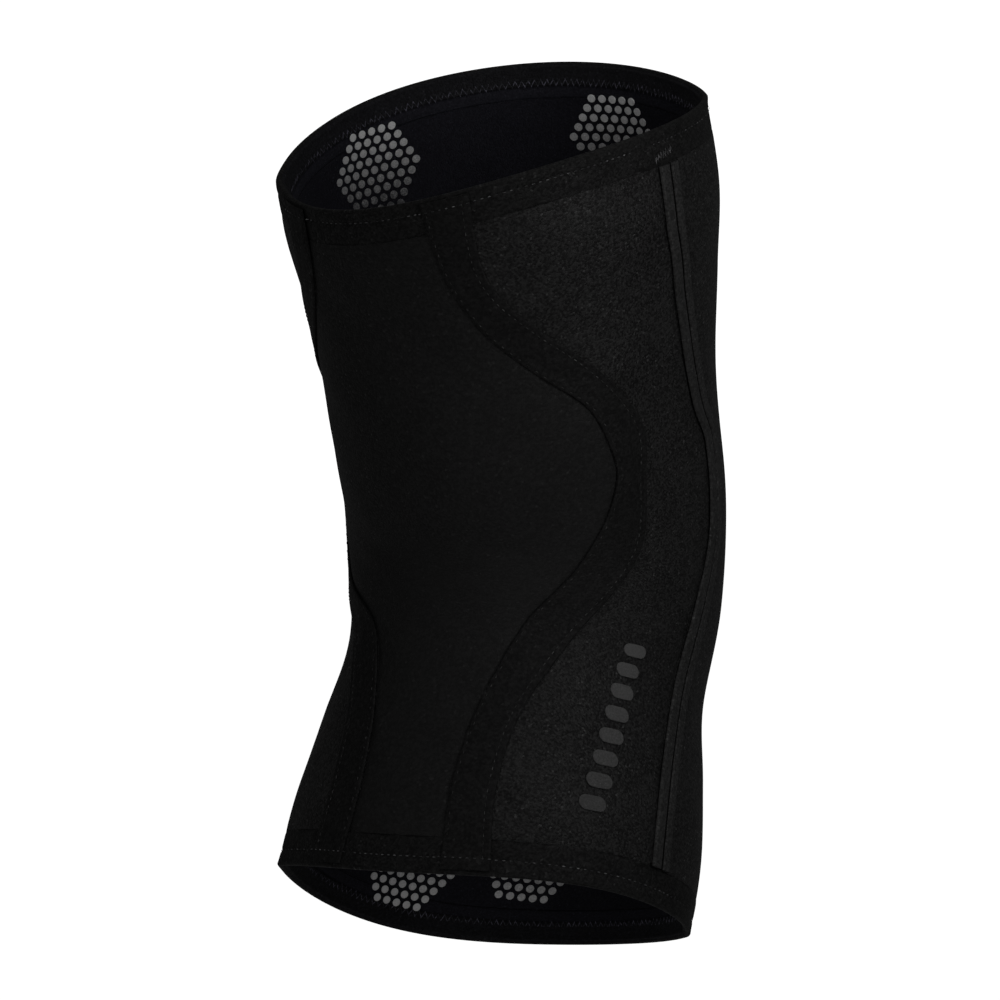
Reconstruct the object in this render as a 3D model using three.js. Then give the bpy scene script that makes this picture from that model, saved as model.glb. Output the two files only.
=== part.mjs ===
import * as THREE from 'three';

// Knee sleeve for the right or left knee, in the form it has on a bent leg.
// Millimetres and degrees. +Z runs up the thigh, -Y is the kneecap side, -X is the wearer's right.
// The origin is the middle of the knee. A share runs along the leg from the lower rim (0) to the upper rim (1).
// An angle round the leg starts at the hollow of the knee (+Y) and turns toward -X.

// The leg that the sleeve is drawn over
const LEG_LENGTH = 285;
const KNEE_HEIGHT = 122;
const BEND_LENGTH = 92;
const THIGH_LEAN = 17.5;
const SHANK_LEAN = 18.2;
const KNEE_HALF_WIDTH = 68;
const KNEE_HALF_DEPTH = 68;

// The cloth
const PANEL_THICKNESS = 3.7;
const LINING_THICKNESS = 1;
const LAYER_GAP = 0.5;
const SEAM_GAP = 0.6;
const HEM_WIDTH = 12.5;
const RIM_THICKNESS = 2.8;
const RIM_ROUND = 1;
const BAND_THICKNESS = 0.7;
const TAPE_WIDTH = 10;
const TAPE_HEIGHT = 1.2;
const TAPE_EDGE = 0.6;
const TAPE_GROOVE_PLACE = 5.2;
const TAPE_GROOVE_WIDTH = 1;
const TAPE_GROOVE_DEPTH = 0.7;

// The ends are drawn flat like a lens, with its tips this far round from the hollow of the knee.
const LENS_ANGLE = 118;
const LENS_REACH = 85;
const LENS_PINCH = 0.3;
const LENS_TIP_ROUND = 0.2;

// How far each rim stands out along the leg: dip draws in the back, rise lets out the right side,
// arch and skew are the rim's double wave, peak and hook its triple wave.
const TOP_DIP = 6.5;
const TOP_RISE = 3.9;
const TOP_ARCH = -0.7;
const TOP_SKEW = 3.7;
const TOP_PEAK = -0.2;
const TOP_HOOK = 1;
const BOTTOM_DIP = -0.2;
const BOTTOM_RISE = -1.4;
const BOTTOM_ARCH = 1.5;
const BOTTOM_SKEW = 0.9;
const BOTTOM_PEAK = 1.4;
const BOTTOM_HOOK = -0.3;

// Section radii as shares of the knee's half width and half depth
const SECTION = [
  { share: 0.0, side: 1.115, back: 0.92, front: 0.885 },
  { share: 0.1, side: 1.095, back: 0.97, front: 0.985 },
  { share: 0.2, side: 1.01, back: 0.97, front: 1.0 },
  { share: 0.3, side: 0.935, back: 0.98, front: 0.975 },
  { share: 0.4, side: 0.975, back: 0.99, front: 0.97 },
  { share: 0.5, side: 1.0, back: 0.985, front: 0.985 },
  { share: 0.6, side: 1.01, back: 1.025, front: 0.985 },
  { share: 0.7, side: 1.025, back: 1.04, front: 1.025 },
  { share: 0.8, side: 1.08, back: 1.02, front: 1.09 },
  { share: 0.9, side: 1.14, back: 1.08, front: 1.115 },
  { share: 1.0, side: 1.11, back: 1.15, front: 1.12 },
];

// Angles of the pattern's lines from its middle line, and how far that line is turned as worn
const PATTERN = [
  { share: 0.0, turn: -5, backSeam: 15.5, bandEdge: 29, frontSeam: 78 },
  { share: 0.1, turn: -3, backSeam: 14, bandEdge: 26.5, frontSeam: 76 },
  { share: 0.2, turn: -2, backSeam: 17.5, bandEdge: 30.5, frontSeam: 79 },
  { share: 0.3, turn: -2, backSeam: 27, bandEdge: 43.5, frontSeam: 85 },
  { share: 0.4, turn: -8, backSeam: 42, bandEdge: 59.5, frontSeam: 93 },
  { share: 0.5, turn: -11, backSeam: 54, bandEdge: 71.5, frontSeam: 102 },
  { share: 0.6, turn: -10, backSeam: 64, bandEdge: 74, frontSeam: 102 },
  { share: 0.65, turn: -10, backSeam: 62.5, bandEdge: 75, frontSeam: 97 },
  { share: 0.7, turn: -10, backSeam: 57, bandEdge: 69.5, frontSeam: 94 },
  { share: 0.75, turn: -11, backSeam: 44, bandEdge: 60, frontSeam: 92 },
  { share: 0.8, turn: -12, backSeam: 32.5, bandEdge: 47.5, frontSeam: 90 },
  { share: 0.85, turn: -12, backSeam: 25.5, bandEdge: 37, frontSeam: 88 },
  { share: 0.9, turn: -12, backSeam: 22, bandEdge: 33, frontSeam: 86 },
  { share: 1.0, turn: -13, backSeam: 21, bandEdge: 35, frontSeam: 88 },
];

// Faces of the mesh: rows along the leg, closer where the seams slope, and the widest column
const ROWS = [
  0, 0.09, 0.18, 0.24, 0.285, 0.325, 0.365, 0.405, 0.45, 0.5, 0.55, 0.6,
  0.64, 0.67, 0.695, 0.72, 0.745, 0.77, 0.795, 0.825, 0.87, 0.935, 1,
];
const RING_COLUMNS = 40;
const COLUMN_ANGLE = 10;

const RIGHT = 1;
const LEFT = -1;
const FULL_TURN = 360;

const topRim = {
  dip: TOP_DIP, rise: TOP_RISE, arch: TOP_ARCH, skew: TOP_SKEW, peak: TOP_PEAK, hook: TOP_HOOK,
};
const bottomRim = {
  dip: BOTTOM_DIP, rise: BOTTOM_RISE, arch: BOTTOM_ARCH, skew: BOTTOM_SKEW, peak: BOTTOM_PEAK, hook: BOTTOM_HOOK,
};

const clothDepth = PANEL_THICKNESS + LAYER_GAP + LINING_THICKNESS;

const radians = THREE.MathUtils.degToRad;
const mix = THREE.MathUtils.lerp;
const smooth = THREE.MathUtils.smoothstep;

// A smooth curve through a table's rows
function slopeAt(table, column, row) {
  const before = table[Math.max(row - 1, 0)];
  const after = table[Math.min(row + 1, table.length - 1)];
  return (after[column] - before[column]) / (after.share - before.share);
}

function readTable(table, column, share) {
  const place = THREE.MathUtils.clamp(share, 0, 1);
  const row = Math.max(table.findIndex((entry) => entry.share >= place), 1) - 1;
  const span = table[row + 1].share - table[row].share;
  const t = (place - table[row].share) / span;
  const bend = (1 - t) ** 2 * t * span;
  const bendBack = (1 - t) * t ** 2 * span;
  const step = t * t * (3 - 2 * t);
  return (
    mix(table[row][column], table[row + 1][column], step)
    + slopeAt(table, column, row) * bend
    - slopeAt(table, column, row + 1) * bendBack
  );
}

// The leg's middle line, walked from the knee: its lean, and its place in Y and Z
function leanAt(height) {
  const t = smooth(height - KNEE_HEIGHT, -BEND_LENGTH / 2, BEND_LENGTH / 2);
  return radians(mix(-SHANK_LEAN, THIGH_LEAN, t));
}

const SPINE_STEP = 1;
const spineReach = LEG_LENGTH + HEM_WIDTH;

function walkSpine(direction) {
  const places = [{ y: 0, z: 0 }];
  for (let walked = SPINE_STEP; walked <= spineReach; walked += SPINE_STEP) {
    const lean = leanAt(KNEE_HEIGHT + direction * (walked - SPINE_STEP / 2));
    const last = places[places.length - 1];
    places.push({
      y: last.y + direction * SPINE_STEP * Math.sin(lean),
      z: last.z + direction * SPINE_STEP * Math.cos(lean),
    });
  }
  return places;
}

const spineUp = walkSpine(1);
const spineDown = walkSpine(-1);

function spineAt(height) {
  const places = height < KNEE_HEIGHT ? spineDown : spineUp;
  const walked = Math.abs(height - KNEE_HEIGHT) / SPINE_STEP;
  const index = Math.min(Math.floor(walked), places.length - 2);
  const t = walked - index;
  return {
    y: mix(places[index].y, places[index + 1].y, t),
    z: mix(places[index].z, places[index + 1].z, t),
  };
}

// The outer face's section: across toward -X, and out toward the hollow of the knee
function sectionAt(height, angle) {
  const share = height / LEG_LENGTH;
  const turn = radians(angle);
  const deep = Math.cos(turn) > 0 ? 'back' : 'front';
  const across = KNEE_HALF_WIDTH * readTable(SECTION, 'side', share) * Math.sin(turn);
  const out = KNEE_HALF_DEPTH * readTable(SECTION, deep, share) * Math.cos(turn);
  const reach = Math.min(height, LEG_LENGTH - height);
  const nearness = THREE.MathUtils.clamp(1 - reach / LENS_REACH, 0, 1);
  const lens = radians(LENS_ANGLE);
  const along = across * Math.sin(lens) + out * Math.cos(lens);
  const pinch = Math.hypot(Math.sin(turn - lens), LENS_TIP_ROUND) ** (LENS_PINCH * nearness ** 2);
  const over = (across * Math.cos(lens) - out * Math.sin(lens)) * pinch;
  return {
    across: along * Math.sin(lens) + over * Math.cos(lens),
    out: along * Math.cos(lens) - over * Math.sin(lens),
  };
}

// A point of the cloth: its height along the leg, its angle round it and its depth under the outer face
const TANGENT_STEP = 1;

function clothPoint(height, angle, depth) {
  const here = sectionAt(height, angle);
  const before = sectionAt(height, angle - TANGENT_STEP);
  const after = sectionAt(height, angle + TANGENT_STEP);
  const run = after.across - before.across;
  const rise = after.out - before.out;
  const size = Math.hypot(run, rise);
  const across = here.across + (rise / size) * depth;
  const out = here.out - (run / size) * depth;
  const spine = spineAt(height);
  const lean = leanAt(height);
  return new THREE.Vector3(
    -across,
    spine.y + out * Math.cos(lean),
    spine.z - out * Math.sin(lean),
  );
}

// Heights of the two rims, and of a line kept a distance inside each
function rimWave(rim, angle) {
  const turn = radians(angle);
  return (
    -rim.dip * Math.cos(turn)
    + rim.rise * Math.sin(turn)
    + rim.arch * Math.cos(2 * turn)
    + rim.skew * Math.sin(2 * turn)
    + rim.peak * Math.cos(3 * turn)
    + rim.hook * Math.sin(3 * turn)
  );
}

const insideTop = (angle, inset) => LEG_LENGTH + rimWave(topRim, angle) - inset;
const insideBottom = (angle, inset) => inset - rimWave(bottomRim, angle);

// Angles of the pattern's lines on each side, at a height, moved by an arc length along the cloth
function lineAngle(line, side, height, shift = 0) {
  const share = height / LEG_LENGTH;
  const radius = KNEE_HALF_WIDTH * readTable(SECTION, 'side', share);
  const moved = THREE.MathUtils.radToDeg(shift / radius);
  return readTable(PATTERN, 'turn', share) + side * (readTable(PATTERN, line, share) + moved);
}

// Closed bodies from a grid of points: grid[row][column], with the first column repeated when it closes
function skinFaces(points, columns, start, flip, faces) {
  for (let a = 0; a + columns < points.length; a += 1) {
    const corners = [a, a + 1, a + columns + 1, a + columns];
    if (corners[1] % columns === 0) continue;
    const [first, second, third, fourth] = corners.map((corner) => points[corner]);
    // Each quad is split along its shorter diagonal.
    if (first.distanceTo(third) > second.distanceTo(fourth)) corners.push(corners.shift());
    if (flip) corners.reverse();
    const [p, q, r, s] = corners.map((corner) => corner + start);
    faces.push(...(flip ? [p, q, s, q, r, s] : [p, q, r, p, r, s]));
  }
}

function toMesh(name, points, faces, material) {
  const geometry = new THREE.BufferGeometry();
  geometry.setAttribute('position', new THREE.Float32BufferAttribute(points.flatMap((p) => p.toArray()), 3));
  geometry.setIndex(faces);
  geometry.computeVertexNormals();
  const mesh = new THREE.Mesh(geometry, material);
  mesh.name = name;
  return mesh;
}

// A patch of cloth between two angle lines: profile gives each column's outer and inner depth
function makePatch({ name, from, to, columns, inset, material }) {
  const outer = [];
  const inner = [];
  for (const share of ROWS) {
    for (const column of columns) {
      let height = mix(inset, LEG_LENGTH - inset, share);
      let angle = 0;
      for (let pass = 0; pass < 4; pass += 1) {
        angle = mix(from(height), to(height), column.place);
        height = mix(insideBottom(angle, inset), insideTop(angle, inset), share);
      }
      outer.push(clothPoint(height, angle, column.outer));
      inner.push(clothPoint(height, angle, column.inner));
    }
  }
  const wide = columns.length;
  const high = ROWS.length;
  const back = high * wide;
  const faces = [];
  skinFaces(outer, wide, 0, false, faces);
  skinFaces(inner, wide, back, true, faces);
  const wall = (a, b) => faces.push(a, a + back, b, b, a + back, b + back);
  for (let row = 0; row < high - 1; row += 1) {
    wall((row + 1) * wide, row * wide);
    wall(row * wide + wide - 1, (row + 1) * wide + wide - 1);
  }
  for (let column = 0; column < wide - 1; column += 1) {
    wall(column, column + 1);
    wall((high - 1) * wide + column + 1, (high - 1) * wide + column);
  }
  return toMesh(name, [...outer, ...inner], faces, material);
}

// A ring of cloth from a closed outline of heights and depths
function makeRing({ name, outline, heightAt, material }) {
  const points = [];
  const faces = [];
  const count = outline.length;
  for (let column = 0; column < RING_COLUMNS; column += 1) {
    const angle = (column * FULL_TURN) / RING_COLUMNS;
    for (const [inset, depth] of outline) points.push(clothPoint(heightAt(angle, inset), angle, depth));
  }
  for (let column = 0; column < RING_COLUMNS; column += 1) {
    const next = ((column + 1) % RING_COLUMNS) * count;
    for (let corner = 0; corner < count; corner += 1) {
      const a = column * count + corner;
      const b = column * count + ((corner + 1) % count);
      faces.push(a, next + corner, b, b, next + corner, next + ((corner + 1) % count));
    }
  }
  return toMesh(name, points, faces, material);
}

const black = (color, roughness) => new THREE.MeshStandardMaterial({ color, roughness, metalness: 0 });
const materials = {
  back: black(0x0f0f0f, 0.95),
  panel: black(0x171717, 0.95),
  band: black(0x101010, 0.85),
  tape: black(0x1a1a1a, 0.9),
  hem: black(0x0e0e10, 0.9),
  lining: black(0x0b0b0d, 0.8),
};

const panelInset = HEM_WIDTH + LAYER_GAP;
const halfGap = SEAM_GAP / 2;
const middleLine = () => 0;
const frontLine = () => FULL_TURN / 2;
const widestBetween = (near, far) => Math.max(...PATTERN.map((entry) => far(entry) - near(entry)));
const backSeam = (entry) => entry.backSeam;
const bandEdge = (entry) => entry.bandEdge;
const frontSeam = (entry) => entry.frontSeam;

function evenColumns(angle, outer, inner) {
  const count = Math.ceil(angle / COLUMN_ANGLE);
  return Array.from({ length: count + 1 }, (unused, index) => ({ place: index / count, outer, inner }));
}

// A patch on one side of the leg: near and far are its two lines, counted from the hollow of the knee
function makeSidePatch({ side, near, far, columns, ...rest }) {
  if (side === RIGHT) return makePatch({ from: near, to: far, columns, ...rest });
  const mirrored = columns.map((column) => ({ ...column, place: 1 - column.place })).reverse();
  return makePatch({ from: far, to: near, columns: mirrored, ...rest });
}

const sleeve = new THREE.Group();
sleeve.name = 'knee_sleeve';

sleeve.add(makePatch({
  name: 'back_panel',
  from: (height) => lineAngle('backSeam', LEFT, height, -halfGap),
  to: (height) => lineAngle('backSeam', RIGHT, height, -halfGap),
  columns: evenColumns(2 * widestBetween(middleLine, backSeam), 0, PANEL_THICKNESS),
  inset: panelInset,
  material: materials.back,
}));

sleeve.add(makePatch({
  name: 'front_panel',
  from: (height) => lineAngle('frontSeam', RIGHT, height, halfGap),
  to: (height) => FULL_TURN + lineAngle('frontSeam', LEFT, height, halfGap),
  columns: evenColumns(2 * widestBetween(frontSeam, frontLine), 0, PANEL_THICKNESS),
  inset: panelInset,
  material: materials.panel,
}));

// The tape's outer face, across from the seam: a broad ridge, a groove and a narrower ridge
const tapeProfile = [
  { across: 0, high: TAPE_EDGE },
  { across: TAPE_EDGE, high: TAPE_HEIGHT },
  { across: TAPE_GROOVE_PLACE - TAPE_GROOVE_WIDTH / 2, high: TAPE_HEIGHT },
  { across: TAPE_GROOVE_PLACE, high: TAPE_HEIGHT - TAPE_GROOVE_DEPTH },
  { across: TAPE_GROOVE_PLACE + TAPE_GROOVE_WIDTH / 2, high: TAPE_HEIGHT },
  { across: TAPE_WIDTH - TAPE_EDGE, high: TAPE_HEIGHT },
  { across: TAPE_WIDTH, high: TAPE_EDGE },
];

for (const [word, side] of [['right', RIGHT], ['left', LEFT]]) {
  sleeve.add(makeSidePatch({
    name: `side_panel_${word}`,
    side,
    near: (height) => lineAngle('backSeam', side, height, halfGap),
    far: (height) => lineAngle('frontSeam', side, height, -halfGap),
    columns: evenColumns(widestBetween(backSeam, frontSeam), 0, PANEL_THICKNESS),
    inset: panelInset,
    material: materials.panel,
  }));
  sleeve.add(makeSidePatch({
    name: `back_seam_band_${word}`,
    side,
    near: (height) => lineAngle('backSeam', side, height, halfGap),
    far: (height) => lineAngle('bandEdge', side, height),
    columns: evenColumns(widestBetween(backSeam, bandEdge), -LAYER_GAP - BAND_THICKNESS, -LAYER_GAP),
    inset: panelInset,
    material: materials.band,
  }));
  sleeve.add(makeSidePatch({
    name: `front_seam_tape_${word}`,
    side,
    near: (height) => lineAngle('frontSeam', side, height, halfGap),
    far: (height) => lineAngle('frontSeam', side, height, halfGap + TAPE_WIDTH),
    columns: tapeProfile.map(({ across, high }) => ({
      place: across / TAPE_WIDTH, outer: -LAYER_GAP - high, inner: -LAYER_GAP,
    })),
    inset: panelInset,
    material: materials.tape,
  }));
}

// The lining runs between the hems, inside the panels.
const liningTop = PANEL_THICKNESS + LAYER_GAP;
const liningOutline = [
  ...ROWS.map((share) => [share, liningTop]),
  ...ROWS.map((share) => [share, clothDepth]).reverse(),
];

sleeve.add(makeRing({
  name: 'inner_lining',
  outline: liningOutline,
  heightAt: (angle, share) => mix(insideBottom(angle, panelInset), insideTop(angle, panelInset), share),
  material: materials.lining,
}));

// A hem's section: the outer face, the rounded rim and the inner face, which thickens toward the panels
const roundCut = RIM_ROUND * (1 - Math.SQRT1_2);
const hemOutline = [
  [HEM_WIDTH, 0],
  [RIM_ROUND, 0],
  [roundCut, roundCut],
  [0, RIM_ROUND],
  [0, RIM_THICKNESS - RIM_ROUND],
  [roundCut, RIM_THICKNESS - roundCut],
  [RIM_ROUND, RIM_THICKNESS],
  [HEM_WIDTH, clothDepth],
];

sleeve.add(makeRing({
  name: 'top_hem', outline: hemOutline, heightAt: insideTop, material: materials.hem,
}));
sleeve.add(makeRing({
  name: 'bottom_hem', outline: [...hemOutline].reverse(), heightAt: insideBottom, material: materials.hem,
}));

export default sleeve;
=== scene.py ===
import math

import bpy
import numpy as np
from mathutils import Matrix, Vector


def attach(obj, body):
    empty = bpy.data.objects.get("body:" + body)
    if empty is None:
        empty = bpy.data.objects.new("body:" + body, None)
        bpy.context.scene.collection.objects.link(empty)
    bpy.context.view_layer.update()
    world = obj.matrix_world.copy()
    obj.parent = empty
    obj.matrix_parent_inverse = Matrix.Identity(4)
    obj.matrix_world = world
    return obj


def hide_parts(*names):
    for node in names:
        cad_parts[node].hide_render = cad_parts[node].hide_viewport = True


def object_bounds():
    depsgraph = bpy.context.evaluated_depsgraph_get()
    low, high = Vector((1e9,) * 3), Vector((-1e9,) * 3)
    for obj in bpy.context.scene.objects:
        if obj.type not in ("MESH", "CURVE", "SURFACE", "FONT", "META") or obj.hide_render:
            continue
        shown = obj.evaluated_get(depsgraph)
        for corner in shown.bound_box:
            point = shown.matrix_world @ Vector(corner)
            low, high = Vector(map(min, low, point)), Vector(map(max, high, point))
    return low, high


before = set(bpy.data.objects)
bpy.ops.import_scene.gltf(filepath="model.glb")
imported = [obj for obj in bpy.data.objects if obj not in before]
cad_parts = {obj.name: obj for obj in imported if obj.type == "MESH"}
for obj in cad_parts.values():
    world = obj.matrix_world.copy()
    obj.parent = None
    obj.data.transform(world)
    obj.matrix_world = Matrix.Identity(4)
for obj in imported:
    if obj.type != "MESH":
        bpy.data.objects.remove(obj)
scene = bpy.context.scene
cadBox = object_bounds()
print("frame loaded")

# Camera: the photograph's view, from behind and to the right
cameraView = {
    "azimuth": 208.3,
    "elevation": 1.4,
    "roll": 1.7,
    "distance": 2.0,
    "lens": 201.2,
    "aimRight": -0.0134,
    "aimUp": 0.0262,
}


def viewAxes(azimuth, elevation):  # right, up and backward directions of a level view
    a = math.radians(azimuth)
    e = math.radians(elevation)
    backward = Vector((math.sin(a) * math.cos(e), -math.cos(a) * math.cos(e), math.sin(e)))
    right = Vector((math.cos(a), math.sin(a), 0))
    return right, backward.cross(right), backward


def addCamera(view):
    right, up, backward = viewAxes(view["azimuth"], view["elevation"])
    roll = math.radians(view["roll"])
    rolledRight = right * math.cos(roll) + up * math.sin(roll)
    rolledUp = up * math.cos(roll) - right * math.sin(roll)
    aim = rolledRight * view["aimRight"] + rolledUp * view["aimUp"]
    bpy.ops.object.camera_add()
    camera = bpy.context.object
    turn = Matrix((rolledRight, rolledUp, backward)).transposed().to_4x4()
    camera.matrix_world = Matrix.Translation(aim + backward * view["distance"]) @ turn
    camera.data.lens = view["lens"]
    camera.data.clip_end = 60
    scene.camera = camera


addCamera(cameraView)
print("camera placed")

# The sleeve's form, in metres and degrees. Angles start at the hollow of the knee and turn toward -X.
sleeve = {
    "length": 0.285,
    "kneeHeight": 0.122,
    "bendLength": 0.092,
    "thighLean": 17.5,
    "shankLean": 18.2,
    "halfWidth": 0.068,
    "halfDepth": 0.068,
    "lensAngle": 118,
    "lensReach": 0.085,
    "lensPinch": 0.3,
    "lensTipRound": 0.03,
    "leftTip": 0.018,  # how much further the openings' left tips reach, as a share
    "leftTipWidth": 0.14,
}

cloth = {
    "panel": 0.0037,
    "lining": 0.001,
    "layerGap": 0.0005,
    "seamGap": 0.00015,
    "hemGap": 0.00012,
    "hem": 0.0125,
    "rimThickness": 0.0022,
    "rimRound": 0.001,
    "band": 0.0007,
    "tape": 0.01,
}

topRim = {"dip": 0.0065, "rise": 0.0039, "arch": -0.0007, "skew": 0.0037, "peak": -0.0002, "hook": 0.001}
bottomRim = {"dip": -0.0002, "rise": -0.0014, "arch": 0.0015, "skew": 0.0009, "peak": 0.0014, "hook": -0.0003}

# Section radii as shares of the knee's half width and half depth, going up
sections = [
    {"share": 0.0, "side": 1.13, "back": 0.92, "front": 0.885},
    {"share": 0.1, "side": 1.095, "back": 0.97, "front": 0.985},
    {"share": 0.2, "side": 1.01, "back": 0.97, "front": 1.0},
    {"share": 0.3, "side": 0.935, "back": 0.98, "front": 0.975},
    {"share": 0.4, "side": 0.975, "back": 0.99, "front": 0.97},
    {"share": 0.5, "side": 1.0, "back": 0.985, "front": 0.985},
    {"share": 0.6, "side": 1.01, "back": 1.025, "front": 0.985},
    {"share": 0.7, "side": 1.025, "back": 1.04, "front": 1.025},
    {"share": 0.8, "side": 1.08, "back": 1.02, "front": 1.09},
    {"share": 0.9, "side": 1.14, "back": 1.08, "front": 1.115},
    {"share": 1.0, "side": 1.125, "back": 1.15, "front": 1.12},
]

# Where the seams run: angles to each side of a middle line, and how far that line is turned
seams = [
    {"share": 0.0, "turn": -5, "backSeam": 15.5, "bandEdge": 29, "frontSeam": 78},
    {"share": 0.1, "turn": -3, "backSeam": 14, "bandEdge": 26.5, "frontSeam": 76},
    {"share": 0.2, "turn": -2, "backSeam": 17.5, "bandEdge": 30.5, "frontSeam": 79},
    {"share": 0.3, "turn": -2, "backSeam": 27, "bandEdge": 43.5, "frontSeam": 85},
    {"share": 0.4, "turn": -8, "backSeam": 42, "bandEdge": 59.5, "frontSeam": 93},
    {"share": 0.5, "turn": -11, "backSeam": 54, "bandEdge": 71.5, "frontSeam": 102},
    {"share": 0.6, "turn": -10, "backSeam": 64, "bandEdge": 74, "frontSeam": 102},
    {"share": 0.65, "turn": -10, "backSeam": 62.5, "bandEdge": 75, "frontSeam": 97},
    {"share": 0.7, "turn": -10, "backSeam": 57, "bandEdge": 69.5, "frontSeam": 94},
    {"share": 0.75, "turn": -11, "backSeam": 44, "bandEdge": 60, "frontSeam": 92},
    {"share": 0.8, "turn": -12, "backSeam": 32.5, "bandEdge": 47.5, "frontSeam": 90},
    {"share": 0.85, "turn": -12, "backSeam": 25.5, "bandEdge": 37, "frontSeam": 88},
    {"share": 0.9, "turn": -12, "backSeam": 22, "bandEdge": 33, "frontSeam": 86},
    {"share": 1.0, "turn": -13, "backSeam": 21, "bandEdge": 35, "frontSeam": 88},
]

rightSide = 1
leftSide = -1


def readTable(table, column, share):  # a smooth curve through a table's rows
    places = np.array([row["share"] for row in table])
    values = np.array([row[column] for row in table])
    before = np.maximum(np.arange(len(table)) - 1, 0)
    after = np.minimum(np.arange(len(table)) + 1, len(table) - 1)
    slopes = (values[after] - values[before]) / (places[after] - places[before])
    place = np.clip(share, 0, 1)
    row = np.clip(np.searchsorted(places, place) - 1, 0, len(table) - 2)
    span = places[row + 1] - places[row]
    t = (place - places[row]) / span
    step = t * t * (3 - 2 * t)
    bend = slopes[row] * (1 - t) ** 2 * t * span - slopes[row + 1] * (1 - t) * t**2 * span
    return values[row] + (values[row + 1] - values[row]) * step + bend


def leanAt(height):  # the middle line's lean in radians, at a height along it
    t = np.clip((height - sleeve["kneeHeight"]) / sleeve["bendLength"] + 0.5, 0, 1)
    t = t * t * (3 - 2 * t)
    return np.radians(-sleeve["shankLean"] + (sleeve["thighLean"] + sleeve["shankLean"]) * t)


def walkSpine(step=0.001):  # the middle line, walked both ways from the knee
    count = int((sleeve["length"] + cloth["hem"]) / step)
    walked = np.arange(1, count + 1) * step
    up = leanAt(sleeve["kneeHeight"] + walked - step / 2)
    down = leanAt(sleeve["kneeHeight"] - walked + step / 2)
    heights = sleeve["kneeHeight"] + np.concatenate([-walked[::-1], [0], walked])
    ys = np.concatenate([-np.cumsum(np.sin(down))[::-1], [0], np.cumsum(np.sin(up))]) * step
    zs = np.concatenate([-np.cumsum(np.cos(down))[::-1], [0], np.cumsum(np.cos(up))]) * step
    return heights, ys, zs


spineHeights, spineYs, spineZs = walkSpine()


def sectionAt(height, angle):  # the outer face: across toward -X, out toward the hollow of the knee
    share = height / sleeve["length"]
    turn = np.radians(angle)
    deep = np.where(np.cos(turn) > 0, readTable(sections, "back", share), readTable(sections, "front", share))
    across = sleeve["halfWidth"] * readTable(sections, "side", share) * np.sin(turn)
    out = sleeve["halfDepth"] * deep * np.cos(turn)
    reach = np.minimum(height, sleeve["length"] - height)
    nearness = np.clip(1 - reach / sleeve["lensReach"], 0, 1)
    lens = math.radians(sleeve["lensAngle"])
    along = across * math.sin(lens) + out * math.cos(lens)
    tip = np.exp(-((np.sin(turn - lens) / sleeve["leftTipWidth"]) ** 2)) * nearness**6
    along = along * (1 + sleeve["leftTip"] * tip * (np.cos(turn - lens) < 0))
    pinch = np.hypot(np.sin(turn - lens), sleeve["lensTipRound"]) ** (sleeve["lensPinch"] * nearness**2)
    over = (across * math.cos(lens) - out * math.sin(lens)) * pinch
    return along * math.sin(lens) + over * math.cos(lens), along * math.cos(lens) - over * math.sin(lens)


def clothPoint(height, angle, depth):  # points in the cloth; depth is counted inward from the outer face
    height, angle, depth = np.broadcast_arrays(
        np.asarray(height, float), np.asarray(angle, float), np.asarray(depth, float))
    across, out = sectionAt(height, angle)
    acrossAfter, outAfter = sectionAt(height, angle + 1)
    acrossBefore, outBefore = sectionAt(height, angle - 1)
    run = acrossAfter - acrossBefore
    rise = outAfter - outBefore
    size = np.hypot(run, rise)
    across = across + rise / size * depth
    out = out - run / size * depth
    lean = leanAt(height)
    y = np.interp(height, spineHeights, spineYs) + out * np.cos(lean)
    z = np.interp(height, spineHeights, spineZs) - out * np.sin(lean)
    return np.stack([-across, y, z], axis=-1)


def rimWave(rim, angle):
    turn = np.radians(angle)
    return (-rim["dip"] * np.cos(turn) + rim["rise"] * np.sin(turn)
            + rim["arch"] * np.cos(2 * turn) + rim["skew"] * np.sin(2 * turn)
            + rim["peak"] * np.cos(3 * turn) + rim["hook"] * np.sin(3 * turn))


def insideTop(angle, inset):  # height of a line kept inside the upper rim
    return sleeve["length"] + rimWave(topRim, angle) - inset


def insideBottom(angle, inset):
    return inset - rimWave(bottomRim, angle)


def lineAngle(line, side, height, shift=0):  # a seam's angle at a height, moved along the cloth
    share = height / sleeve["length"]
    radius = sleeve["halfWidth"] * readTable(sections, "side", share)
    moved = np.degrees(shift / radius)
    return readTable(seams, "turn", share) + side * (readTable(seams, line, share) + moved)


panelInset = cloth["hem"] + cloth["hemGap"]


def settle(lower, upper, u, v, inset=panelInset):  # height and angle of a place in a patch
    height = inset + (sleeve["length"] - 2 * inset) * v
    for _ in range(5):
        angle = lower(height) + (upper(height) - lower(height)) * u
        low = insideBottom(angle, inset)
        height = low + (insideTop(angle, inset) - low) * v
    return height, angle


swells = {"waves": 7, "shortest": 0.018, "longest": 0.05}


def unevenness(angle, height, size, seed):  # gentle swells of worn cloth
    draw = np.random.default_rng(seed)
    total = 0
    for _ in range(swells["waves"]):
        wave = draw.uniform(swells["shortest"], swells["longest"])
        way = draw.uniform(0, math.pi)
        phase = draw.uniform(0, 2 * math.pi)
        arc = np.radians(angle) * sleeve["halfWidth"]
        total = total + np.sin(2 * math.pi / wave * (arc * math.cos(way) + height * math.sin(way)) + phase)
    return total * size / swells["waves"]


def deselectAll():
    if bpy.context.object and bpy.context.object.mode != "OBJECT":
        bpy.ops.object.mode_set(mode="OBJECT")
    bpy.ops.object.select_all(action="DESELECT")


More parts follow.
